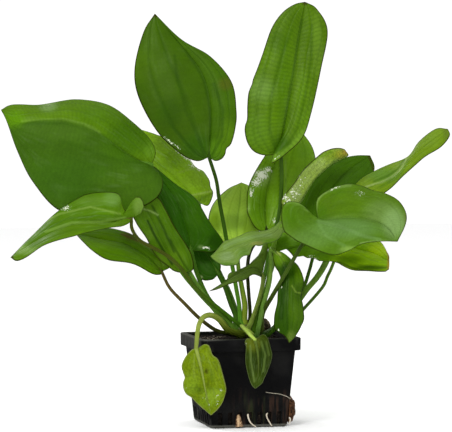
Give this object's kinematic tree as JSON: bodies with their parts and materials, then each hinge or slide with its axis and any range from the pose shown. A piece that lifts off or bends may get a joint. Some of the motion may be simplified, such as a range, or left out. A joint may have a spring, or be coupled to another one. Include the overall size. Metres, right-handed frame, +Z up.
{
  "type": "potted aquatic plant",
  "caption": "Rosette of broad, long-stalked green leaves rising from a crown in a square black nursery pot with slotted lower walls.",
  "frame": {"origin": "middle of the pot's underside", "axes": "+Z up; the pot's walls face X and Y, with -Y the wall that the roots grow out of and the low leaves hang over"},
  "size_m": [0.4163, 0.1859, 0.388],
  "materials": {
    "pot_plastic": "thin black injection-moulded plastic, semi-gloss, water-stained",
    "substrate": "wet dark fibrous growing medium",
    "rhizome": "olive crown with dry sheaths",
    "clay": "rough dark brown lump",
    "leaf": "waxy mid-green leaf",
    "leaf_dark": "waxy dark green leaf",
    "leaf_pale": "pale grey-green leaf",
    "leaf_yellow": "yellow-green leaf",
    "stalk": "smooth green leaf stalk",
    "root_pale": "off-white living root",
    "root_brown": "brown fibrous root"
  },
  "bodies": {
    "root": {"pot": "pot_plastic", "substrate": "substrate", "crown": "rhizome", "clay_lump": "clay", "leaf_tall_left": "leaf", "stalk_tall_left": "stalk", "leaf_tall_right": "leaf", "stalk_tall_right": "stalk", "leaf_upright_back": "leaf", "stalk_upright_back": "stalk", "leaf_back_centre": "leaf_yellow", "stalk_back_centre": "stalk", "leaf_folded_right": "leaf_pale", "stalk_folded_right": "stalk", "leaf_back_right": "leaf_dark", "stalk_back_right": "stalk", "leaf_far_right": "leaf", "stalk_far_right": "stalk", "leaf_front_right": "leaf", "stalk_front_right": "stalk", "leaf_under_right": "leaf_yellow", "stalk_under_right": "stalk", "leaf_pale_front": "leaf_pale", "stalk_pale_front": "stalk", "leaf_narrow_front": "leaf", "stalk_narrow_front": "stalk", "leaf_hanging_right": "leaf", "stalk_hanging_right": "stalk", "leaf_rim_left": "leaf_yellow", "stalk_rim_left": "stalk", "leaf_rim_front": "leaf", "stalk_rim_front": "stalk", "leaf_low_left": "leaf", "stalk_low_left": "stalk", "leaf_left_front": "leaf", "stalk_left_front": "stalk", "leaf_big_left": "leaf", "stalk_big_left": "stalk", "leaf_middle_left": "leaf", "stalk_middle_left": "stalk", "leaf_dark_left": "leaf_dark", "stalk_dark_left": "stalk", "leaf_narrow_left": "leaf", "stalk_narrow_left": "stalk", "leaf_back_dark": "leaf_dark", "stalk_back_dark": "stalk", "root_broad": "root_brown", "root_pale_left": "root_pale", "root_pale_right": "root_pale", "root_thin": "root_pale", "root_clump": "root_brown"}
  },
  "joints": []
}
